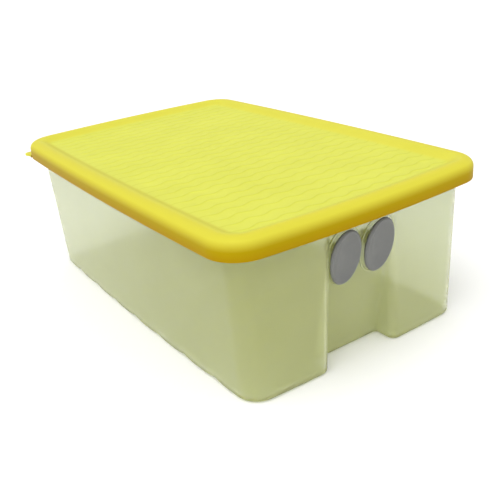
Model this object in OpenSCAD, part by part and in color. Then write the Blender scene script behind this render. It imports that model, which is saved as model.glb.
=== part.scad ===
// Ventilated fridge keeper: a deep frosted container, a push-on lid and two push-pull vent plugs.
// Millimetres, +Z up. The origin is the middle of the footprint, on the surface it stands on.
// The vents face -Y and the long sides run along Y.

/* [Overall] */
// Width of the lid across X, which is the widest part
lid_w = 195; // [190:1:202]
// Length of the lid along Y
lid_l = 306; // [290:1:320]
// Height to the crest of the lid's rim
total_h = 104.8; // [100:0.1:112]
// How far each short side bows outwards at its middle, from the skirt up
end_bow = 2.8; // [1:0.1:4]
// How far each short side bows outwards at the floor
foot_bow = 1.1; // [0.5:0.1:2.8]
// How far each long side bows outwards at its middle
side_bow = 2.3; // [1:0.1:4]

/* [Container] */
// Thickness of the container's walls and floor
wall = 1.8; // [1.5:0.1:2]
// How far the lid's skirt stands outside the container's wall
overhang = 8.9; // [8.6:0.1:9.5]
// Lean of the walls, in degrees
draft = 1.8; // [1:0.1:2.5]
// Corner radius of the walls
base_r = 15; // [12:0.5:18]
// Rounding of the bottom edge
foot_round = 2.6; // [1.5:0.1:3]
// Distance between two grooves of the corrugated floor
groove_pitch = 34; // [30:0.5:38]
// Height of the grooves on the underside of the floor
groove_h = 1.8; // [1:0.1:2]

/* [Front recess] */
// Middle of the recess across X
recess_x = -1.9; // [-3:0.1:3]
// Half width of the recess at the floor, out to where its rounding meets the front wall
recess_half = 31; // [31:0.5:33]
// Lean of the recess's side walls, in degrees
recess_flank = 2.5; // [1:0.1:2.6]
// Depth of the recess at the floor; its back wall leans out to the front wall at the lid's skirt
recess_depth = 15.6; // [15:0.1:16]
// Rounding where the front wall turns into the recess
recess_round = 5.7; // [5:0.1:5.8]
// Fillet at the back of the recess
recess_fillet = 2; // [1.5:0.1:2.1]

/* [Vents] */
// Height of the vent plugs' middle
vent_z = 71.3; // [70:0.1:72]
// Distance between the two plugs' middles
vent_pitch = 25.6; // [25.3:0.1:25.8]
// Half width of a plug
plug_rx = 11.2; // [11.1:0.1:11.3]
// Half height of a plug
plug_ry = 17.9; // [17.4:0.1:18]
// How far a plug pulls out
plug_travel = 4; // [3:0.5:5]
// Radius of a plug's stem
stem_r = 3; // [2.6:0.1:3.2]

/* [Lid] */
// Height of the lid's skirt, from its lower edge to the crest
skirt_h = 12.4; // [11.5:0.1:13]
// Corner radius of the lid
lid_r = 21.7; // [20:0.1:23]
// How far the ribbed panel lies below the crest
panel_drop = 3.4; // [3:0.1:4]
// Distance between two ribs of the panel
rib_pitch = 10; // [9:0.5:12]
// Length of one wave of a rib
wave_len = 16.3; // [14:0.1:20]
// How far a rib swings to each side
wave_swing = 1.2; // [0.8:0.1:1.6]
// How far the lift tab stands out of the corner
tab_reach = 8; // [5:0.5:8.5]

/* [Hidden] */

frosted = [0.80, 0.83, 0.68, 0.8];
lid_yellow = [0.95, 0.93, 0.30];
plug_grey = [0.50, 0.52, 0.52];

// Heights
skirt_z = total_h - skirt_h;
panel_z = total_h - panel_drop;
rim_z = total_h - 2.3;
lip_z = rim_z - 5.9;

// Radial clearance of a plug's stem in its guide
fit_gap = 0.06;

// Lean of the recess's back wall, in degrees
recess_tilt = atan(recess_depth / skirt_z + tan(draft));

// Inset of the rim's turned-down lip from the lid's outline
lip_out = 2.85;
// Rounding between the walls and the floor inside
inner_round = 2.4;
// The floor has grooves at -3 to 3 pitches, and this share of each ridge's width is flat
groove_count = 3;
ridge_flat = 0.25;

// Guide for a plug's stem, and the air holes round it
guide_r = 5.2;
guide_l = 6.8;
air_r = 1.4;
air_circle = 8.2;
air_fan = 28;
barb_h = 2.4;

// Panel of the lid
panel_inset = 17;
panel_r = 8;
rib_margin = 1.5;
rib_w = 1.2;
rib_h = 0.35;
tab_tip_r = 4;
tab_root_w = 19;

// How finely outlines are drawn
corner_n = 6;
side_n = 7;
flat_n = 3;
step_n = 4;
least_step = 1;

lid_half = [lid_w, lid_l] / 2;

function lerp(a, b, t) = a + (b - a) * t;
function arc(centre, r, from, to) =
    [for (k = [0:corner_n]) centre + r * [cos(lerp(from, to, k / corner_n)), sin(lerp(from, to, k / corner_n))]];
function reversed(list) = [for (k = [len(list) - 1:-1:0]) list[k]];
function between(a, b, n) = [for (k = [1:n]) lerp(a, b, k / (n + 1))];

// ---- Outlines ----

// The turn from the front wall into the recess, as [distance inwards, depth]: a rounding, then a fillet.
function step_curve(depth, inset) =
    let (
        round_r = recess_round - inset,
        fillet_r = recess_fillet + inset,
        shape = max(depth, least_step),
        turn = shape < round_r + fillet_r ? acos(1 - shape / (round_r + fillet_r)) : 90,
        share = turn / (step_n + 0.5),
        gain = depth / shape
    )
    concat(
        [for (k = [0:step_n]) [round_r * sin(k * share), gain * round_r * (1 - cos(k * share))]],
        [for (k = [step_n:-1:0]) [
            (round_r + fillet_r) * sin(turn) - fillet_r * sin(k * share),
            gain * (shape - fillet_r * (1 - cos(k * share)))
        ]]
    );

// The front side from left to right as [x, depth behind the front line], corners left out. The recess is
// given as [depth, half width].
function front_line(cx, recess, inset) =
    let (
        depth = recess[0],
        step = step_curve(depth, inset),
        left = recess_x - recess[1],
        right = recess_x + recess[1],
        reach = step[len(step) - 1].x
    )
    concat(
        [for (x = between(-cx, left, flat_n)) [x, 0]],
        [for (p = step) [left + p.x, p.y]],
        [for (x = between(left + reach, right - reach, flat_n)) [x, depth]],
        [for (p = reversed(step)) [right - p.x, p.y]],
        [for (x = between(right, cx, flat_n)) [x, 0]]
    );

// A rounded rectangle with bowed sides, counter-clockwise from the front left. Its front side is recessed
// where a recess is given.
function outline(half, r, recess = undef, inset = 0, bow = end_bow) =
    let (
        c = half - [r + side_bow, r + bow],
        lean_end = atan(2 * bow / c.x),
        lean_side = atan(2 * side_bow / c.y),
        front = recess == undef ? [for (x = between(-c.x, c.x, side_n)) [x, 0]] : front_line(c.x, recess, inset)
    )
    concat(
        [for (p = front) [p.x, p.y - half.y + bow * pow(p.x / c.x, 2)]],
        arc([c.x, -c.y], r, -90 + lean_end, -lean_side),
        [for (y = between(-c.y, c.y, side_n)) [half.x - side_bow * pow(y / c.y, 2), y]],
        arc(c, r, lean_side, 90 - lean_end),
        [for (x = between(c.x, -c.x, side_n)) [x, half.y - bow * pow(x / c.x, 2)]],
        arc([-c.x, c.y], r, 90 + lean_end, 180 - lean_side),
        [for (y = between(c.y, -c.y, side_n)) [side_bow * pow(y / c.y, 2) - half.x, y]],
        arc(-c, r, 180 + lean_side, 270 - lean_end)
    );

function oval(rx, ry, n = 60) = [for (k = [0:n - 1]) [rx * cos(360 * k / n), ry * sin(360 * k / n)]];

// The flat end of a ring whose outline is convex
function plain_end(n) = [[for (k = [0:n - 1]) k]];

// The flat end of a recessed ring: fans from a point on each long side, which see all of the front side
function recessed_end(n) =
    let (
        front_n = 3 * flat_n + 4 * (step_n + 1),
        middle = (front_n - 1) / 2,
        right = front_n + corner_n + 1,
        left = n - corner_n - 2
    )
    concat(
        [for (k = [left + 1:n - 1]) [left, k, (k + 1) % n]],
        [for (k = [0:middle - 1]) [left, k, k + 1]],
        [[left, middle, right]],
        [for (k = [middle:right - 2]) [right, k, k + 1]],
        [[for (k = [right:left]) k]]
    );

// A closed solid through a stack of [outline, height] rings, which all have the same number of points
module loft(rings, recessed = false) {
    n = len(rings[0][0]);
    top = len(rings) - 1;
    points = [for (g = rings) for (p = g[0]) [p.x, p.y, g[1]]];
    sides = [
        for (j = [0:top - 1]) for (k = [0:n - 1])
            let (a = j * n + k, b = j * n + (k + 1) % n)
            for (f = [[a, a + n, b + n], [a, b + n, b]]) f
    ];
    bottom = recessed ? recessed_end(n) : plain_end(n);
    polyhedron(points, concat(bottom, sides, [for (f = bottom) reversed([for (k = f) k + top * n])]));
}

// ---- Container ----

// The recess's depth and half width at a height
function recess_at(z) =
    let (h = min(z, skirt_z))
    [recess_depth * (1 - h / skirt_z), recess_half - h * tan(recess_flank)];

// Bow of the short sides at a height
function bow_at(z) = lerp(foot_bow, end_bow, min(z / skirt_z, 1));

// Distance from the lid's outline to the container's wall at a height
function wall_inset(z) = overhang + max(skirt_z - z, 0) * tan(draft);

// One ring of the container. inset is measured inwards from the wall's outer face.
function wall_ring(z, inset) =
    let (i = wall_inset(z) + inset)
    [outline(lid_half - [i, i], base_r - inset, recess_at(z), inset, bow_at(z)), z];

// One ring of the rim, above the recess. inset is measured from the lid's outline.
function rim_ring(inset, z) =
    [outline(lid_half - [inset, inset], base_r + overhang - inset, recess_at(skirt_z)), z];

// A quarter turn of rings from a flat bottom at height z into a wall
function foot_rings(r, z, inset) =
    [for (a = [0:30:90]) wall_ring(z + r * (1 - cos(a)), inset + r * (1 - sin(a)))];

wall_levels = [14, 30, 44, 56, 66, 75, 84, skirt_z];

module container_outside() {
    lip_in = lip_out + 1.6;
    loft(concat(
        foot_rings(foot_round, 0, 0),
        [for (z = wall_levels) wall_ring(z, 0)],
        [
            rim_ring(overhang, rim_z - 3.1),
            rim_ring(overhang - 1.3, rim_z - 1.7),
            rim_ring(lip_in, rim_z - 1.7),
            rim_ring(lip_in, lip_z),
            rim_ring(lip_out, lip_z),
            rim_ring(lip_out, rim_z - 1.3),
            rim_ring(lip_out + 0.4, rim_z - 0.4),
            rim_ring(lip_out + 1.3, rim_z)
        ]
    ), recessed = true);
}

module container_cavity() {
    loft(concat(
        foot_rings(inner_round, wall, wall),
        [for (z = wall_levels) wall_ring(z, wall)],
        [
            rim_ring(overhang + wall, rim_z - 1),
            rim_ring(overhang + wall - 0.8, rim_z),
            rim_ring(overhang + wall - 0.8, rim_z + 1)
        ]
    ), recessed = true);
}

// Height of the floor's underside: flat-bottomed ridges along X with a sharp groove between each two
function floor_rise(y) =
    let (u = abs(y / groove_pitch - min(max(round(y / groove_pitch), -groove_count), groove_count)))
    groove_h * pow(max(0, 1 - min(2 * u, 1) - ridge_flat) / (1 - ridge_flat), 2);

// Everything below the floor's wavy underside, lifted by raise
module below_floor(raise) {
    length = lid_l / 2;
    rotate([90, 0, 90])
        linear_extrude(lid_w, center = true)
            polygon(concat(
                [[-length, -1]],
                [for (y = [-groove_count - 0.5 : 1 / 12 : groove_count + 0.51])
                    [y * groove_pitch, floor_rise(y * groove_pitch) + raise]],
                [[length, -1]]
            ));
}

// Puts its children on the recess's back wall, with +Z standing out of the wall. side is -1 or 1.
module at_vent(side) {
    half_l = lid_half.y - wall_inset(vent_z);
    x = recess_x + side * vent_pitch / 2;
    y = recess_at(vent_z)[0] - half_l + bow_at(vent_z) * pow(x / (lid_half.x - overhang - base_r), 2);
    translate([x, y, vent_z])
        rotate([90 + recess_tilt, 0, 0])
            children();
}

module oval_ring(rx, ry, width, low, high) {
    translate([0, 0, low])
        linear_extrude(high - low)
            difference() {
                polygon(oval(rx, ry));
                polygon(oval(rx - width, ry - width));
            }
}

// What stands on the wall at a vent: an outer collar, a sealing ring and, inside, the stem's guide
module vent_seat() {
    oval_ring(plug_rx + 1.8, plug_ry + 1.6, 1.1, -0.6, 1);
    oval_ring(plug_rx - 3.2, plug_ry - 3.8, 1.2, -0.6, 0.8);
    translate([0, 0, -guide_l])
        cylinder(h = guide_l - 0.3, r = guide_r, $fn = 48);
}

// The stem's bore and the air holes above and below it
module vent_holes() {
    translate([0, 0, -guide_l - 1])
        cylinder(h = guide_l + 2, r = stem_r + fit_gap, $fn = 48);
    for (turn = [0, 180], fan = [-air_fan, 0, air_fan])
        rotate(turn + fan)
            translate([0, air_circle, -wall - 1])
                cylinder(h = wall + 3, r = air_r, $fn = 32);
}

module container() {
    color(frosted)
        difference() {
            union() {
                difference() {
                    container_outside();
                    difference() {
                        container_cavity();
                        below_floor(wall);
                    }
                    below_floor(0);
                }
                for (side = [-1, 1])
                    at_vent(side)
                        vent_seat();
            }
            for (side = [-1, 1])
                at_vent(side)
                    vent_holes();
        }
}

// ---- Vent plugs ----

// A dished oval head with a sealing lip behind it, on a split stem that ends in a barb
module plug() {
    head = [
        [1.7, 1.3], [0.7, 1.8], [0, 2.6], [0, 3.2], [0.3, 3.7], [1, 4.1], [1.9, 4],
        [3.4, 3.5], [5.5, 2.95], [8, 2.6], [10, 2.5]
    ];
    barb_z = -guide_l - plug_travel - 0.2;
    loft([for (p = head) [oval(plug_rx - p.x, plug_ry - p.x), p.y]]);
    oval_ring(plug_rx - 1.9, plug_ry - 2.5, 1, 0.3, 1.5);
    difference() {
        union() {
            translate([0, 0, barb_z - 0.1])
                cylinder(h = 1.5 - barb_z, r = stem_r, $fn = 48);
            translate([0, 0, barb_z - barb_h])
                cylinder(h = barb_h, r1 = stem_r - 0.6, r2 = stem_r + 0.7, $fn = 48);
        }
        translate([-0.6, -stem_r - 2, barb_z - barb_h - 1])
            cube([1.2, 2 * stem_r + 4, barb_h + 9]);
    }
}

module vent_plug_left() {
    color(plug_grey) at_vent(-1) plug();
}

module vent_plug_right() {
    color(plug_grey) at_vent(1) plug();
}

// ---- Lid ----

// The lid's section as [distance in from the outline, height]: from the panel's underside round the
// seal ring, over the rim's channel and down inside the skirt, and then back over the crest to the panel.
lid_inside = [
    [panel_inset - 0.2, panel_z - 1.7], [14.6, panel_z - 1.4], [12.7, panel_z - 0.3],
    [12.6, skirt_z + 3.4], [12.2, skirt_z + 2.8], [11.5, skirt_z + 2.8], [11.1, skirt_z + 3.4],
    [11.1, total_h - 2.8], [10.4, total_h - 1.9], [5.2, total_h - 1.9], [3.2, total_h - 2.6],
    [2, total_h - 4.2], [1.7, total_h - 6.3], [1.7, lip_z - 0.8], [2.4, lip_z - 1.5],
    [2.4, lip_z - 2.1], [1.7, lip_z - 2.9], [1.5, skirt_z + 0.2], [1.2, skirt_z]
];
lid_outside = [
    [0.4, skirt_z], [0, skirt_z + 0.4], [0, total_h - 5.2], [0.4, total_h - 3.4], [1.3, total_h - 1.9],
    [2.7, total_h - 0.8], [4.5, total_h - 0.2], [6.5, total_h], [8.6, total_h - 0.1],
    [11, total_h - 0.8], [13.5, total_h - 2.2], [15.4, panel_z + 0.25], [panel_inset, panel_z]
];

function lid_ring(p, r) = [outline(lid_half - [p.x, p.x], max(r - p.x, panel_r)), p.y];

// Half length of a rib at a distance y from the panel's middle, short of the panel's rounded corners
function rib_reach(y) =
    let (half = lid_half - [panel_inset + rib_margin, panel_inset + rib_margin], past = abs(y) - half.y + panel_r)
    half.x - side_bow - (past > 0 ? panel_r - sqrt(panel_r * panel_r - past * past) : 0);

// One rib, which waves from side to side as it crosses the lid
module rib(y) {
    reach = rib_reach(y);
    n = round(6 * 2 * reach / wave_len);
    line = [for (k = [0:n]) let (x = lerp(-reach, reach, k / n)) [x, y + wave_swing * sin(360 * x / wave_len)]];
    translate([0, 0, panel_z - 0.4])
        linear_extrude(0.4 + rib_h)
            polygon(concat(
                [for (p = line) p - [0, rib_w / 2]],
                reversed([for (p = line) p + [0, rib_w / 2]])
            ));
}

// The lift tab at the back left corner
module lift_tab() {
    corner = [-(lid_half.x - lid_r - side_bow), lid_half.y - lid_r - end_bow];
    translate([corner.x, corner.y, skirt_z])
        rotate(135)
            linear_extrude(1.6)
                hull() {
                    translate([lid_r + tab_reach - tab_tip_r, 0])
                        circle(tab_tip_r, $fn = 32);
                    translate([lid_r - 1.4, 0])
                        square([0.4, tab_root_w], center = true);
                }
}

module lid() {
    rows = floor((lid_half.y - panel_inset - end_bow - rib_margin - wave_swing) / rib_pitch);
    color(lid_yellow)
        union() {
            // The seal ring follows the container's corners, which are rounder than the lid's
            loft(concat(
                [for (p = lid_inside) lid_ring(p, p.x > 10 ? base_r + overhang : lid_r)],
                [for (p = lid_outside) lid_ring(p, lid_r)]
            ));
            for (row = [-rows:rows])
                rib(row * rib_pitch);
            lift_tab();
        }
}

container();
lid();
vent_plug_left();
vent_plug_right();
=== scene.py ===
"""Ventilated fridge keeper: finer meshes, materials, soft light and the camera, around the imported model."""
from math import atan, cos, pi, radians, sin, tan

import bmesh
import bpy
import numpy as np
from mathutils import Matrix, Vector
from mathutils.geometry import delaunay_2d_cdt


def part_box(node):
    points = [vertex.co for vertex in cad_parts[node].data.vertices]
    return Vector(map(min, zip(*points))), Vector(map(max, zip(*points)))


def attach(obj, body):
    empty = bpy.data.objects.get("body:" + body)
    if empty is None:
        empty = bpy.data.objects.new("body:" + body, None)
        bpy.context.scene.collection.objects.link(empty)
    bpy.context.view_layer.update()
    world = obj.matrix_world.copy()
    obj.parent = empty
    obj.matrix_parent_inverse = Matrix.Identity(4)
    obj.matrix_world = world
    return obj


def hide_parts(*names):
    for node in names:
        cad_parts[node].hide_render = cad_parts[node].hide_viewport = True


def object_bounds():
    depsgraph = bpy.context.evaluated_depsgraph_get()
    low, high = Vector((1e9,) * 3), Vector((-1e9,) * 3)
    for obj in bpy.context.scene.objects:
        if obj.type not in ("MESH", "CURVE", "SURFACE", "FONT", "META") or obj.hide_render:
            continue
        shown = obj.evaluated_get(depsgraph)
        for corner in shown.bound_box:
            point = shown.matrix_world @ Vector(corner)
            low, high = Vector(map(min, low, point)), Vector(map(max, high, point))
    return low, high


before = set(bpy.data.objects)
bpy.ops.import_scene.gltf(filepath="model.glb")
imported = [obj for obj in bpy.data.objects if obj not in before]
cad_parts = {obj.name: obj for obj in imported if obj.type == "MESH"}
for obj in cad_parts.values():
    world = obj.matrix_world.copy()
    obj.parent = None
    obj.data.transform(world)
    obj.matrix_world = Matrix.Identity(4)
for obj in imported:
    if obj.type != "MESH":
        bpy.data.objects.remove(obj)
cad_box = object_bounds()

# ---------------------------------------------------------------- sizes, in millimetres, as in the design
MM = 0.001


def cad_box_mm(node):
    low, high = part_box(node)
    return np.array(low) / MM, np.array(high) / MM


LID_LOW, LID_HIGH = cad_box_mm("lid")
RIM_Z = cad_box_mm("container")[1][2]
TOTAL_H = LID_HIGH[2]
SKIRT_Z = LID_LOW[2]
LID_HALF = (LID_HIGH - LID_LOW)[:2] / 2

# Bow of the short sides at the lid and at the floor, and of the long sides
END_BOW, FOOT_BOW, SIDE_BOW = 2.8, 1.1, 2.3
# Wall thickness, the lid's reach beyond the wall, and the lean of the walls in degrees
WALL, OVERHANG, DRAFT = 1.8, 8.9, 1.8
BASE_R, FOOT_ROUND, INNER_ROUND = 15.0, 2.6, 2.4
# The corrugated floor's waves die out over this height of wall
WAVE_FADE = 9.0
GROOVE_PITCH, GROOVE_H, GROOVE_COUNT, RIDGE_FLAT = 34.0, 1.8, 3, 0.25
RECESS_X, RECESS_HALF, RECESS_DEPTH, RECESS_FLANK = -1.9, 31.0, 15.6, 2.5
RECESS_ROUND, RECESS_FILLET, LEAST_STEP = 5.7, 2.0, 1.0
RECESS_TILT = atan(RECESS_DEPTH / SKIRT_Z + tan(radians(DRAFT)))
VENT_Z, VENT_PITCH, PLUG_RX, PLUG_RY, PLUG_TRAVEL = 71.3, 25.6, 11.2, 17.9, 4.0
STEM_R, FIT_GAP, GUIDE_R, GUIDE_L, BARB_H = 3.0, 0.06, 5.2, 6.8, 2.4
AIR_R, AIR_CIRCLE, AIR_FAN = 1.4, 8.2, 28
LID_R, PANEL_DROP, PANEL_INSET, PANEL_R = 21.7, 3.4, 17.0, 8.0
PANEL_Z = TOTAL_H - PANEL_DROP
RIB_PITCH, WAVE_LEN, WAVE_SWING, RIB_W, RIB_H, RIB_MARGIN = 10.0, 16.3, 1.2, 1.5, 0.35, 1.5
TAB_REACH, TAB_TIP_R, TAB_ROOT_W = 8.0, 4.0, 19.0
CREST_INSET, SHOULDER_H = 6.5, 5.2
# The container's turned-down lip: its inset from the lid's outline, thickness and lower edge
LIP_OUT, LIP_T = 2.85, 1.6
LIP_Z = RIM_Z - 5.9


# ---------------------------------------------------------------- camera
def add_camera():
    """A product view from the front left and above the lid, with the camera rolled a little to one side."""
    yaw, pitch, roll = radians(32.73), radians(23.86), radians(-5.18)
    forward = Vector((sin(yaw) * cos(pitch), cos(yaw) * cos(pitch), -sin(pitch)))
    level = Vector((cos(yaw), -sin(yaw), 0))
    upright = level.cross(forward)
    right = level * cos(roll) + upright * sin(roll)
    up = upright * cos(roll) - level * sin(roll)
    distance, aside, below = 0.5129, 0.0146, -0.0247
    place = Vector((0, 0, TOTAL_H * MM / 2)) - forward * distance + right * aside + up * below
    camera = bpy.data.objects.new("camera", bpy.data.cameras.new("camera"))
    camera.data.sensor_width = 36
    camera.data.lens = 50.51
    camera.data.clip_start = 0.01
    axes = Matrix((right, up, -forward)).transposed()
    camera.matrix_world = Matrix.Translation(place) @ axes.to_4x4()
    bpy.context.scene.collection.objects.link(camera)
    bpy.context.scene.camera = camera


# ---------------------------------------------------------------- outlines and sections
def ease(t):
    u = np.clip(t, 0, 1)
    return u * u * (3 - 2 * u)


def between(a, b, n):
    return a + (b - a) * np.arange(1, n + 1) / (n + 1)


def arc(cx, cy, r, start, end, n):
    t = np.radians(np.linspace(start, end, n + 1))
    return np.stack([cx + r * np.cos(t), cy + r * np.sin(t)], 1)


def step_curve(depth, inset, n=9):
    """The turn from the front wall into the recess, a rounding and a fillet, as (distance inwards, depth)."""
    round_r, fillet_r = RECESS_ROUND - inset, RECESS_FILLET + inset
    shape = max(depth, LEAST_STEP)
    both = round_r + fillet_r
    turn = np.arccos(1 - shape / both) if shape < both else pi / 2
    a = turn * np.arange(n + 1) / (n + 0.5)
    gain = depth / shape
    out = np.stack([round_r * np.sin(a), gain * round_r * (1 - np.cos(a))], 1)
    a = a[::-1]
    inwards = both * np.sin(turn) - fillet_r * np.sin(a)
    back = np.stack([inwards, gain * (shape - fillet_r * (1 - np.cos(a)))], 1)
    return np.concatenate([out, back])


def front_line(cx, recess, inset, n=8):
    """The front side from left to right as (x, depth behind the front line), corners left out. The recess is
    (depth, half width)."""
    depth, half = recess
    step = step_curve(depth, inset)
    left, right, reach = RECESS_X - half, RECESS_X + half, step[-1][0]
    flat = [(x, 0) for x in between(-cx, left, n)]
    floor = [(x, depth) for x in between(left + reach, right - reach, n)]
    flat_right = [(x, 0) for x in between(right, cx, n)]
    turned_in = [(left + d, y) for d, y in step]
    turned_out = [(right - d, y) for d, y in step[::-1]]
    return np.array(flat + turned_in + floor + turned_out + flat_right)


def outline(half, r, recess=None, inset=0.0, bow=END_BOW, corner_n=12, side_n=24, end_n=20):
    """A rounded rectangle with bowed sides, counter-clockwise from the front left, with any recess given."""
    cx, cy = half[0] - r - SIDE_BOW, half[1] - r - bow
    lean_end = np.degrees(np.arctan(2 * bow / cx))
    lean_side = np.degrees(np.arctan(2 * SIDE_BOW / cy))
    if recess is None:
        front = np.stack([between(-cx, cx, end_n), np.zeros(end_n)], 1)
    else:
        front = front_line(cx, recess, inset)
    fx, fy = front[:, 0], front[:, 1] - half[1] + bow * (front[:, 0] / cx) ** 2
    y = between(-cy, cy, side_n)
    x = between(cx, -cx, end_n)
    side = half[0] - SIDE_BOW * (y / cy) ** 2
    back = half[1] - bow * (x / cx) ** 2
    return np.concatenate([
        np.stack([fx, fy], 1),
        arc(cx, -cy, r, -90 + lean_end, -lean_side, corner_n),
        np.stack([side, y], 1),
        arc(cx, cy, r, lean_side, 90 - lean_end, corner_n),
        np.stack([x, back], 1),
        arc(-cx, cy, r, 90 + lean_end, 180 - lean_side, corner_n),
        np.stack([-side, -y], 1),
        arc(-cx, -cy, r, 180 + lean_side, 270 - lean_end, corner_n),
    ])


def rounded(path, radius=0.6, n=4):
    """A section's line with its corners turned into short curves."""
    path = np.array(path, float)
    out = [path[0]]
    for before, corner, after in zip(path, path[1:], path[2:]):
        a, b = before - corner, after - corner
        la, lb = np.linalg.norm(a), np.linalg.norm(b)
        d = min(radius, 0.45 * la, 0.45 * lb)
        p, q = corner + a / la * d, corner + b / lb * d
        out += [(1 - t) ** 2 * p + 2 * t * (1 - t) * corner + t * t * q for t in np.linspace(0, 1, n)]
    return np.array(out + [path[-1]])


def oval(rx, ry, n=96):
    t = np.linspace(0, 2 * pi, n, endpoint=False)
    return np.stack([rx * np.cos(t), ry * np.sin(t)], 1)


# ---------------------------------------------------------------- meshes
def loft(bm, rings):
    """Quads between rings of equally many points. Returns the rings' vertices."""
    rows = [[bm.verts.new(p) for p in ring] for ring in rings]
    n = len(rows[0])
    for low, high in zip(rows, rows[1:]):
        for k in range(n):
            bm.faces.new((low[k], low[(k + 1) % n], high[(k + 1) % n], high[k]))
    return rows


def lifted(points, z):
    return np.column_stack([points, np.broadcast_to(z, len(points))])


def sheet_faces(bm, border, inner, height, upwards=True):
    """Fills a flat outline with triangles through the inner points, then lifts each point by height(x, y)."""
    points = np.concatenate([border, inner]) if len(inner) else border
    flat = [Vector((float(x), float(y))) for x, y in points]
    loop = list(range(len(border)))
    verts, _, faces, _, _, _ = delaunay_2d_cdt(flat, [], [loop], 1, 1e-5)
    xy = np.array([(v.x, v.y) for v in verts])
    made = [bm.verts.new((x, y, z)) for (x, y), z in zip(xy, height(xy[:, 0], xy[:, 1]))]
    for f in faces:
        corner = [made[i] for i in f]
        side = xy[f[1]] - xy[f[0]]
        next_side = xy[f[2]] - xy[f[1]]
        counter_clockwise = side[0] * next_side[1] - side[1] * next_side[0] > 0
        bm.faces.new(corner if counter_clockwise == upwards else corner[::-1])


def inside(points, border, margin):
    """The points that lie inside the outline, at least margin from it."""
    a, b = border, np.roll(border, -1, 0)
    x, y = points[:, :1], points[:, 1:]
    edge_x = (b[:, 0] - a[:, 0]) * (y - a[:, 1]) / (b[:, 1] - a[:, 1] + 1e-12) + a[:, 0]
    crosses = ((a[:, 1] > y) != (b[:, 1] > y)) & (x < edge_x)
    within = crosses.sum(1) % 2 == 1
    e = b - a
    t = np.clip(((points[:, None] - a) * e).sum(2) / (e ** 2).sum(1), 0, 1)
    apart = np.sqrt(((points[:, None] - a - t[..., None] * e) ** 2).sum(2)).min(1)
    return points[within & (apart > margin)]


def finish_mesh(bm, name, sharp=35):
    """Welds the seams, scales to metres and links the object, with smooth shading except at sharp edges."""
    bmesh.ops.remove_doubles(bm, verts=bm.verts, dist=1e-3)
    bmesh.ops.recalc_face_normals(bm, faces=bm.faces)
    bmesh.ops.scale(bm, vec=(MM, MM, MM), verts=bm.verts)
    mesh = bpy.data.meshes.new(name)
    bm.to_mesh(mesh)
    bm.free()
    obj = bpy.data.objects.new(name, mesh)
    bpy.context.scene.collection.objects.link(obj)
    smooth(obj, sharp)
    return obj


def smooth(obj, sharp):
    obj.data.shade_smooth()
    obj.data.set_sharp_from_angle(angle=radians(sharp))


def combine(obj, others, operation):
    """A boolean of obj with each of the others, applied, and the others removed."""
    for other in others:
        modifier = obj.modifiers.new(operation.lower(), "BOOLEAN")
        modifier.operation = operation
        modifier.solver = "MANIFOLD"
        modifier.object = other
        graph = bpy.context.evaluated_depsgraph_get()
        mesh = bpy.data.meshes.new_from_object(obj.evaluated_get(graph))
        obj.modifiers.clear()
        obj.data = mesh
        bpy.data.objects.remove(other)


def turned(rings, name, place=Matrix.Identity(4)):
    """A closed solid through rings, moved by place (in millimetres)."""
    bm = bmesh.new()
    rows = loft(bm, rings)
    bm.faces.new(rows[0][::-1])
    bm.faces.new(rows[-1])
    bmesh.ops.transform(bm, matrix=place, verts=bm.verts)
    return finish_mesh(bm, name)


def tube(outer, inner, low, high, name, place):
    """An upright ring between two outlines, with its upper edges rounded off."""
    edge = 0.25
    section = [
        (inner, low), (outer, low), (outer, high - edge), (outer - edge * np.sign(outer), high),
        (inner + edge * np.sign(inner), high), (inner, high - edge), (inner, low)
    ]
    bm = bmesh.new()
    loft(bm, [lifted(points, z) for points, z in section])
    bmesh.ops.transform(bm, matrix=place, verts=bm.verts)
    return finish_mesh(bm, name)


def drum(radius, low, high, name, place, radius_high=None, n=64):
    """A round bar or cone along Z."""
    top = radius if radius_high is None else radius_high
    return turned([lifted(oval(radius, radius, n), low), lifted(oval(top, top, n), high)], name, place)


# ---------------------------------------------------------------- container
def recess_at(z):
    """The recess's depth and half width: it leans out to the front wall at the lid's skirt."""
    h = min(z, SKIRT_Z)
    return RECESS_DEPTH * (1 - h / SKIRT_Z), RECESS_HALF - h * tan(radians(RECESS_FLANK))


def bow_at(z):
    """Bow of the short sides at height z."""
    return FOOT_BOW + (END_BOW - FOOT_BOW) * min(z / SKIRT_Z, 1)


def wall_inset(z):
    """Distance of the walls inside the lid's outline at height z."""
    return OVERHANG + max(SKIRT_Z - z, 0) * tan(radians(DRAFT))


def floor_rise(y):
    """Height of the floor's underside: flat-bottomed ridges across the box with grooves between them."""
    nearest = np.clip(np.round(y / GROOVE_PITCH), -GROOVE_COUNT, GROOVE_COUNT)
    u = np.minimum(2 * np.abs(y / GROOVE_PITCH - nearest), 1)
    return GROOVE_H * (np.maximum(0, 1 - u - RIDGE_FLAT) / (1 - RIDGE_FLAT)) ** 2


WALL_SIDE_N = 110


def wall_ring(z, inset, floor_z):
    """The wall's outline at height z, which follows the waves of its floor and loses them higher up."""
    i = wall_inset(z) + inset
    points = outline(LID_HALF - i, BASE_R - inset, recess_at(z), inset, bow_at(z), side_n=WALL_SIDE_N)
    fade = 1 - ease((z - floor_z) / WAVE_FADE)
    return lifted(points, z + floor_rise(points[:, 1]) * fade)


def rim_ring(inset, z):
    """An outline of the container's rim, at an inset from the lid's outline."""
    points = outline(LID_HALF - inset, BASE_R + OVERHANG - inset, recess_at(SKIRT_Z), side_n=WALL_SIDE_N)
    return lifted(points, z)


def foot_rings(r, z, inset, n=6):
    """The quarter round between the floor at height z and the wall."""
    return [wall_ring(z + r * (1 - cos(a)), inset + r * (1 - sin(a)), z) for a in np.linspace(0, pi / 2, n)]


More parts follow.
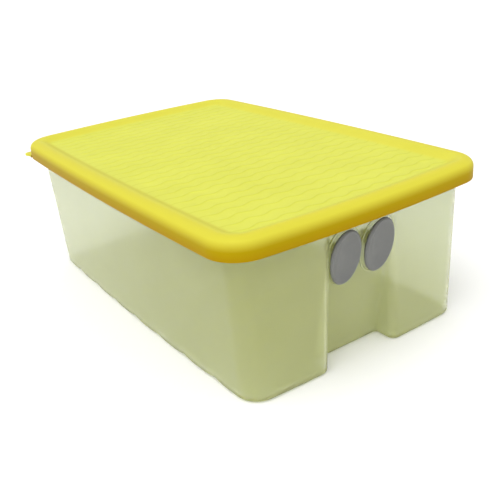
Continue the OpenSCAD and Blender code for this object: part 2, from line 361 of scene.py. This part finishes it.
def vent_place(side):
    """Puts +Z out of the recess's back wall, at a vent's middle."""
    x = RECESS_X + side * VENT_PITCH / 2
    bow = bow_at(VENT_Z) * (x / (LID_HALF[0] - OVERHANG - BASE_R)) ** 2
    y = recess_at(VENT_Z)[0] - (LID_HALF[1] - wall_inset(VENT_Z)) + bow
    return Matrix.Translation((x, y, VENT_Z)) @ Matrix.Rotation(pi / 2 + RECESS_TILT, 4, "X")


def container_shell():
    """The walls from the foot up the outside, over the rim and down the inside, then both faces of the floor
    and the vents' fittings."""
    levels = [9, 16, 24, 32, 40, 48, 54, 60, 66, 71, 76, 80, 84, 87, 90, SKIRT_Z]
    lip_in = LIP_OUT + LIP_T
    rim = rounded([
        (OVERHANG, SKIRT_Z + 5), (OVERHANG, RIM_Z - 3.1), (OVERHANG - 1.3, RIM_Z - 1.7),
        (lip_in, RIM_Z - 1.7),
        (lip_in, LIP_Z), (LIP_OUT, LIP_Z), (LIP_OUT, RIM_Z), (OVERHANG + WALL - 0.2, RIM_Z),
        (OVERHANG + WALL, SKIRT_Z + 5)
    ], radius=1.0)
    bm = bmesh.new()
    loft(bm, foot_rings(FOOT_ROUND, 0, 0) + [wall_ring(z, 0, 0) for z in levels]
         + [rim_ring(i, z) for i, z in rim]
         + [wall_ring(z, WALL, WALL) for z in levels[::-1]] + foot_rings(INNER_ROUND, WALL, WALL)[::-1])
    # A grid that reaches past the floor's edges, in twelfths of a groove's pitch along the box
    grid_half, grid_step, grid_rows = 92, 4.0, 56
    xs = np.arange(-grid_half, grid_half + 0.1, grid_step)
    ys = GROOVE_PITCH / 12 * np.arange(-grid_rows, grid_rows + 1)
    grid = np.array([(x, y) for y in ys for x in xs])
    for z, inset, upwards in ((0, FOOT_ROUND, False), (WALL, WALL + INNER_ROUND, True)):
        border = wall_ring(z, inset, z)[:, :2]
        sheet_faces(bm, border, inside(grid, border, 1.2), lambda x, y: z + floor_rise(y), upwards)
    shell = finish_mesh(bm, "container_shell", sharp=50)
    seats, holes = [], []
    for side in (-1, 1):
        place = vent_place(side)
        for outer, inner, high, name in (
                (oval(PLUG_RX + 1.8, PLUG_RY + 1.6), oval(PLUG_RX + 0.7, PLUG_RY + 0.5), 1.0, "collar"),
                (oval(PLUG_RX - 3.2, PLUG_RY - 3.8), oval(PLUG_RX - 4.4, PLUG_RY - 5.0), 0.8, "seal")):
            seats.append(tube(outer, inner, -0.6, high, name, place))
        seats.append(drum(GUIDE_R, -GUIDE_L, -0.3, "guide", place))
        holes.append(drum(STEM_R + FIT_GAP, -GUIDE_L - 1, 1, "bore", place))
        for turn in (0, 180):
            for fan in (-AIR_FAN, 0, AIR_FAN):
                spin = place @ Matrix.Rotation(radians(turn + fan), 4, "Z")
                off_middle = spin @ Matrix.Translation((0, AIR_CIRCLE, 0))
                holes.append(drum(AIR_R, -WALL - 1, 2, "air_hole", off_middle, n=32))
    combine(shell, seats, "UNION")
    combine(shell, holes, "DIFFERENCE")
    smooth(shell, 50)
    return shell


# ---------------------------------------------------------------- vent plugs
def plug(side, name):
    """A dished oval head, given as (inset, height) from its back round to its middle, with a sealing lip and
    a split stem that ends in a barb."""
    place = vent_place(side)
    head = rounded([
        (10.5, 1.3), (1.7, 1.3), (0.7, 1.8), (0, 2.6), (0, 3.2), (0.9, 4.1), (1.7, 4.0), (3.2, 3.3),
        (5.2, 2.5), (7.8, 1.95), (10.4, 1.8)
    ], radius=1.2, n=5)
    barb_z = -GUIDE_L - PLUG_TRAVEL - 0.2
    obj = turned([lifted(oval(PLUG_RX - i, PLUG_RY - i), z) for i, z in head], name, place)
    lip_place = place @ Matrix.Translation((0, 0, 1.8)) @ Matrix.Rotation(pi, 4, "X")
    parts = [
        tube(oval(PLUG_RX - 1.9, PLUG_RY - 2.5), oval(PLUG_RX - 2.9, PLUG_RY - 3.5), 0.3, 1.5, "seal_lip",
             lip_place),
        drum(STEM_R, barb_z - 0.1, 1.5, "stem", place),
        drum(STEM_R - 0.6, barb_z - BARB_H, barb_z, "barb", place, radius_high=STEM_R + 0.7),
    ]
    combine(obj, parts, "UNION")
    slot = bmesh.new()
    bmesh.ops.create_cube(slot, size=1, matrix=place @ Matrix.Translation((0, 0, barb_z + 3.2 - BARB_H))
                          @ Matrix.Diagonal((1.2, 2 * STEM_R + 4, BARB_H + 9, 1)))
    combine(obj, [finish_mesh(slot, "slot")], "DIFFERENCE")
    smooth(obj, 40)
    return obj


# ---------------------------------------------------------------- lid
def rib_reach(y):
    """Half length of a rib at a distance y from the panel's middle, short of the panel's rounded corners."""
    half = LID_HALF - PANEL_INSET - RIB_MARGIN
    past = abs(y) - half[1] + PANEL_R
    corner = PANEL_R - np.sqrt(max(PANEL_R ** 2 - past ** 2, 0)) if past > 0 else 0
    return half[0] - SIDE_BOW - corner


def panel_height(x, y):
    """The ribbed panel: low rounded ribs that wave from side to side and sink away at their ends."""
    swing = WAVE_SWING * np.sin(2 * pi * x / WAVE_LEN)
    row = np.round((y - swing) / RIB_PITCH)
    last = np.floor((LID_HALF[1] - PANEL_INSET - END_BOW - RIB_MARGIN - WAVE_SWING) / RIB_PITCH)
    row = np.clip(row, -last, last)
    off = np.abs(y - swing - row * RIB_PITCH) / RIB_W
    reach = np.array([rib_reach(v) for v in row * RIB_PITCH])
    ends = ease((reach - 1.5 - np.abs(x)) / 2.5)
    return PANEL_Z + RIB_H * ends * np.where(off < 1, np.cos(off * pi / 2) ** 2, 0)


def panel_points():
    """Points along each rib's flanks and crest, and a line of points midway between ribs."""
    across = [k * RIB_W / 2.5 for k in (-2.5, -1.7, -0.9, 0, 0.9, 1.7, 2.5)]
    last = int((LID_HALF[1] - PANEL_INSET) / RIB_PITCH)
    half, step = 88, 1.6

    def wave(row, x):
        return row * RIB_PITCH + WAVE_SWING * sin(2 * pi * x / WAVE_LEN)

    points = []
    for row in range(-last, last + 1):
        for x in np.arange(-half, half + 0.1, step):
            points += [(x, wave(row, x) + d) for d in across]
        points += [(x, wave(row + 0.5, x)) for x in np.arange(-half, half + 0.1, 2 * step)]
    return np.array(points)


def lid_ring(inset, z, edge_r=LID_R):
    """An outline of the lid at an inset, whose corner radius at the lid's edge would be edge_r."""
    points = outline(LID_HALF - inset, max(edge_r - inset, PANEL_R), corner_n=16, side_n=40, end_n=28)
    return lifted(points, z)


def lid_shell():
    """The lid's section runs from the panel's underside round the seal ring, over the channel for the rim,
    down inside the skirt, and back over the crest to the panel."""
    inside_line = rounded([
        (PANEL_INSET - 0.2, PANEL_Z - 1.7), (14.6, PANEL_Z - 1.4), (12.7, PANEL_Z - 0.3), (12.6, SKIRT_Z + 3),
        (12.2, SKIRT_Z + 2.8), (11.5, SKIRT_Z + 2.8), (11.1, SKIRT_Z + 3.4), (11.1, TOTAL_H - 2.8),
        (10.4, TOTAL_H - 1.9), (4, TOTAL_H - 1.9), (1.8, TOTAL_H - 4.2), (1.7, TOTAL_H - 6.3),
        (1.7, LIP_Z - 0.8), (2.4, LIP_Z - 1.5), (2.4, LIP_Z - 2.1), (1.7, LIP_Z - 2.9), (1.6, SKIRT_Z),
        (0, SKIRT_Z)
    ])
    skirt = [(0.4, SKIRT_Z), (0.1, SKIRT_Z + 0.2), (0, SKIRT_Z + 0.6), (0, SKIRT_Z + 2.5)]
    shoulder = [
        (CREST_INSET * (1 - cos(t) ** 0.9), TOTAL_H - SHOULDER_H + SHOULDER_H * sin(t) ** 0.95)
        for t in np.linspace(0, pi / 2, 12)
    ]
    slope = [
        (CREST_INSET + d, TOTAL_H - PANEL_DROP * float(ease(d / 11) ** 1.15))
        for d in np.linspace(0.8, PANEL_INSET - CREST_INSET, 12)[:-1]
    ]
    outside_line = skirt + shoulder + slope + [(PANEL_INSET, PANEL_Z)]
    bm = bmesh.new()
    # The seal ring follows the container's corners, which are rounder than the lid's
    rings = [lid_ring(i, z, BASE_R + OVERHANG if i > 10 else LID_R) for i, z in inside_line[:-1]]
    rings += [lid_ring(i, z) for i, z in outside_line]
    loft(bm, rings)
    border = rings[-1][:, :2]
    sheet_faces(bm, border, inside(panel_points(), border, 0.8), panel_height)
    no_points, under_z = np.empty((0, 2)), inside_line[0][1]
    sheet_faces(bm, rings[0][:, :2], no_points, lambda x, y: np.full(len(x), under_z), upwards=False)
    lid = finish_mesh(bm, "lid_shell", sharp=60)
    combine(lid, [lift_tab()], "UNION")
    smooth(lid, 60)
    return lid


def lift_tab():
    """A thin flat tab with a rounded tip, on the diagonal of the back left corner."""
    tip = arc(LID_R + TAB_REACH - TAB_TIP_R, 0, TAB_TIP_R, -62, 62, 16)
    root = LID_R - 1.2
    flank = [(root + 2.6, -TAB_ROOT_W / 2 + 3.4), (root, -TAB_ROOT_W / 2)]
    line = np.array([p for p in flank[::-1]] + list(tip) + [(x, -y) for x, y in flank])
    middle = np.array([root + 2, 0])
    corner = (-(LID_HALF[0] - LID_R - SIDE_BOW), LID_HALF[1] - LID_R - END_BOW)
    place = Matrix.Translation((*corner, SKIRT_Z)) @ Matrix.Rotation(radians(135), 4, "Z")
    section = [(0.4, 0), (0.1, 0.15), (0, 0.5), (0, 1.1), (0.1, 1.45), (0.4, 1.6)]
    shrink = [middle + (line - middle) * (1 - i / 8) for i, _ in section]
    return turned([lifted(points, z) for points, (_, z) in zip(shrink, section)], "lift_tab", place)


# ---------------------------------------------------------------- materials
def material(name):
    """A new node material, its tree and a helper that adds a node with its sockets set."""
    made = bpy.data.materials.new(name)
    made.use_nodes = True
    tree = made.node_tree
    tree.nodes.clear()

    def add(kind, links=None, **values):
        node = tree.nodes.new(kind)
        for key, value in values.items():
            setattr(node, key, value)
        for key, value in (links or {}).items():
            socket = node.inputs[key]
            if isinstance(value, bpy.types.NodeSocket):
                tree.links.new(value, socket)
            else:
                socket.default_value = value
        return node

    return made, add


def grain(add, scale, detail=3.0):
    """Fine noise in object space, in metres."""
    place = add("ShaderNodeTexCoord").outputs["Object"]
    values = {"Vector": place, "Scale": scale, "Detail": detail, "Roughness": 0.55}
    return add("ShaderNodeTexNoise", values).outputs["Fac"]


def ramp(add, factor, low, high, colours):
    """A colour between two, as factor goes from low to high."""
    node = add("ShaderNodeValToRGB", {"Fac": factor})
    stops = node.color_ramp.elements
    stops[0].position, stops[1].position = low, high
    stops[0].color, stops[1].color = (*colours[0], 1), (*colours[1], 1)
    return node.outputs["Color"]


def spread(add, factor, low, high):
    """Stretches a factor of 0 to 1 over the values from low to high."""
    return add("ShaderNodeMapRange", {"Value": factor, "To Min": low, "To Max": high}).outputs["Result"]


def frosted_plastic():
    """Frosted polypropylene: light goes through, blurred by a fine moulded texture, and part of it is
    scattered by the milky body, which has a pale sheen."""
    made, add = material("frosted_plastic")
    cloud = grain(add, 22, 2)
    fine = grain(add, 1600, 2)
    tint = ramp(add, cloud, 0.3, 0.7, [(0.89, 0.93, 0.945), (0.91, 0.945, 0.955)])
    milk = ramp(add, cloud, 0.3, 0.7, [(0.95, 0.95, 0.49), (0.97, 0.97, 0.53)])
    bump = add("ShaderNodeBump", {"Height": fine, "Strength": 0.12, "Distance": 0.0002}).outputs[0]
    clear = add("ShaderNodeBsdfPrincipled", {
        "Base Color": tint, "Roughness": spread(add, cloud, 0.12, 0.17), "Transmission Weight": 1.0,
        "IOR": 1.25, "Normal": bump
    }).outputs[0]
    back = add("ShaderNodeBsdfTranslucent", {"Color": milk, "Normal": bump}).outputs[0]
    front = add("ShaderNodeBsdfPrincipled", {
        "Base Color": milk, "Roughness": 0.42, "IOR": 1.45, "Normal": bump,
        "Sheen Weight": 0.5, "Sheen Roughness": 0.5, "Sheen Tint": (0.75, 0.87, 1.0, 1)
    }).outputs[0]
    body = add("ShaderNodeMixShader", {0: 0.55, 1: front, 2: back}).outputs[0]
    mixed = add("ShaderNodeMixShader", {0: 0.29, 1: clear, 2: body}).outputs[0]
    add("ShaderNodeOutputMaterial", {"Surface": mixed})
    return made


def yellow_plastic():
    """Satin polyethylene that lets some light through: pale on the thin panel, with painted shade along its
    ribs, and deepest on the outside of the rim, where painted shade and the deeper colour of the thicker
    plastic grow down to the lower edge of the skirt."""
    made, add = material("yellow_plastic")
    cloud = grain(add, 30, 2)
    fine = grain(add, 1300, 2)

    def maths(operation, a, b=None):
        node = add("ShaderNodeMath", {0: a} if b is None else {0: a, 1: b}, operation=operation)
        return node.outputs[0]

    def blend(factor, a, b):
        return add("ShaderNodeMix", {0: factor, 6: a, 7: b}, data_type="RGBA").outputs[2]

    place = add("ShaderNodeSeparateXYZ", {0: add("ShaderNodeTexCoord").outputs["Object"]}).outputs
    x, y, z = place[0], place[1], place[2]
    centre = (LID_HALF - LID_R) * MM

    def past_centre(a, b, k, bow):
        """How far a point lies outside the corner centres along axis k, where its coordinate is a and the
        other one b, once the side's bow is straightened."""
        share = maths("MINIMUM", maths("ABSOLUTE", maths("DIVIDE", b, centre[1 - k])), 1.0)
        bend = maths("MULTIPLY", maths("MULTIPLY", share, share), bow * MM)
        return maths("MAXIMUM", maths("SUBTRACT", maths("ADD", maths("ABSOLUTE", a), bend), centre[k]), 0.0)

    px, py = past_centre(x, y, 0, SIDE_BOW), past_centre(y, x, 1, END_BOW)
    reach = maths("SQRT", maths("ADD", maths("MULTIPLY", px, px), maths("MULTIPLY", py, py)))

    def from_to(low, high):
        """0 to 1 over a stretch of the distance from the corner centres, in millimetres."""
        return add("ShaderNodeMapRange", {
            "Value": reach, "From Min": low * MM, "From Max": high * MM
        }, interpolation_type="SMOOTHSTEP").outputs[0]

    on_rim = from_to(LID_R - PANEL_INSET - 1, LID_R - PANEL_INSET + 3)
    on_outside = from_to(LID_R - 9.5, LID_R - 6)
    on_tab = from_to(LID_R + 0.3, LID_R + 1.3)
    wave = maths("MULTIPLY", maths("SINE", maths("MULTIPLY", x, 2 * pi / (WAVE_LEN * MM))), WAVE_SWING * MM)
    row = maths("DIVIDE", maths("SUBTRACT", y, wave), RIB_PITCH * MM)
    off = maths("ABSOLUTE", maths("SUBTRACT", maths("FRACT", maths("ADD", row, 0.5)), 0.5))
    # Painted shade: a narrow band along each rib is coloured darker, standing in for the shade on the ribs'
    # flanks.
    on_rib = add("ShaderNodeMapRange", {
        "Value": off, "From Min": 0.03, "From Max": 0.12, "To Min": 1, "To Max": 0
    }, interpolation_type="SMOOTHSTEP").outputs[0]
    # Height on the lid, for the painted shade that darkens the rim's outside towards the skirt's lower edge.
    up = add("ShaderNodeMapRange", {
        "Value": z, "From Min": SKIRT_Z * MM, "From Max": (TOTAL_H - 1.5) * MM
    }).outputs[0]

    panel = ramp(add, cloud, 0.3, 0.7, [(0.765, 0.78, 0.115), (0.795, 0.81, 0.13)])
    # The ribs' colour is painted shade, a little darker than the panel.
    rib = ramp(add, cloud, 0.3, 0.7, [(0.715, 0.73, 0.085), (0.745, 0.76, 0.095)])
    crest = ramp(add, cloud, 0.3, 0.7, [(0.775, 0.74, 0.085), (0.795, 0.76, 0.095)])
    # Partly painted shade, partly the deeper colour of the thicker skirt: the rim's outside darkens and turns
    # orange down to the skirt's lower edge, where less light falls.
    rim = add("ShaderNodeValToRGB", {"Fac": up})
    stops = rim.color_ramp.elements
    stops[0].position, stops[0].color = 0.0, (0.50, 0.30, 0.0005, 1)
    stops[1].position, stops[1].color = 1.0, (0.785, 0.73, 0.07, 1)
    middle = stops.new(0.5)
    middle.color = (0.52, 0.37, 0.001, 1)
    fleck = (0.70, 0.62, 0.03, 1)
    outside = blend(spread(add, cloud, 0.0, 0.04), rim.outputs[0], fleck)
    edge = blend(on_outside, crest, blend(on_tab, outside, crest))
    colour = blend(on_rim, blend(on_rib, panel, rib), edge)
    bump = add("ShaderNodeBump", {"Height": fine, "Strength": 0.08, "Distance": 0.0002}).outputs[0]
    front = add("ShaderNodeBsdfPrincipled", {
        "Base Color": colour, "Roughness": spread(add, cloud, 0.32, 0.42), "IOR": 1.5,
        "Specular IOR Level": 0.05, "Normal": bump
    }).outputs[0]
    back = add("ShaderNodeBsdfTranslucent", {"Color": colour, "Normal": bump}).outputs[0]
    mixed = add("ShaderNodeMixShader", {0: 0.3, 1: front, 2: back}).outputs[0]
    add("ShaderNodeOutputMaterial", {"Surface": mixed})
    return made


def grey_plastic():
    """Plain satin grey polypropylene with a fine moulded texture."""
    made, add = material("grey_plastic")
    cloud = grain(add, 90, 3)
    fine = grain(add, 1800, 2)
    colour = ramp(add, cloud, 0.3, 0.7, [(0.140, 0.142, 0.134), (0.160, 0.162, 0.154)])
    bump = add("ShaderNodeBump", {"Height": fine, "Strength": 0.15, "Distance": 0.0002}).outputs[0]
    skin = add("ShaderNodeBsdfPrincipled", {
        "Base Color": colour, "Roughness": spread(add, cloud, 0.38, 0.5), "IOR": 1.5, "Normal": bump
    }).outputs[0]
    add("ShaderNodeOutputMaterial", {"Surface": skin})
    return made


def floor_paper():
    """Matt white paper."""
    made, add = material("floor_paper")
    cloud = grain(add, 3, 2)
    colour = ramp(add, cloud, 0.3, 0.7, [(0.93, 0.93, 0.93), (0.94, 0.94, 0.94)])
    add("ShaderNodeOutputMaterial", {
        "Surface": add("ShaderNodeBsdfPrincipled", {"Base Color": colour, "Roughness": 0.9}).outputs[0]
    })
    return made


def dress(obj, made, node, body):
    """Gives a piece its material, lets it ride on a body and stand for a CAD node."""
    obj.data.materials.clear()
    obj.data.materials.append(made)
    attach(obj, body)
    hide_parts(node)


# ---------------------------------------------------------------- studio
def add_studio():
    """A wide pale floor, an even white surround and one large soft light from the left."""
    bm = bmesh.new()
    bmesh.ops.create_grid(bm, x_segments=8, y_segments=8, size=14)
    mesh = bpy.data.meshes.new("floor")
    bm.to_mesh(mesh)
    bm.free()
    floor = bpy.data.objects.new("floor", mesh)
    floor.location.z = cad_box[0][2] - 0.0002
    mesh.materials.append(floor_paper())
    bpy.context.scene.collection.objects.link(floor)

    world = bpy.data.worlds.new("studio")
    world.use_nodes = True
    world.node_tree.nodes["Background"].inputs["Color"].default_value = (1, 1, 1, 1)
    world.node_tree.nodes["Background"].inputs["Strength"].default_value = 0.9
    bpy.context.scene.world = world

    sun = bpy.data.lights.new("soft_sun", "SUN")
    sun.energy = 1.6
    sun.angle = radians(50)
    lamp = bpy.data.objects.new("soft_sun", sun)
    lamp.rotation_euler = Vector((0.5, 0.25, -1)).to_track_quat("-Z", "Y").to_euler()
    bpy.context.scene.collection.objects.link(lamp)
    bpy.context.scene.view_settings.view_transform = "Standard"


# ---------------------------------------------------------------- the scene
add_camera()
yellow, frosted, grey = yellow_plastic(), frosted_plastic(), grey_plastic()
dress(container_shell(), frosted, "container", "container")
dress(lid_shell(), yellow, "lid", "lid")
dress(plug(-1, "vent_plug_left_shell"), grey, "vent_plug_left", "left_plug")
dress(plug(1, "vent_plug_right_shell"), grey, "vent_plug_right", "right_plug")
add_studio()
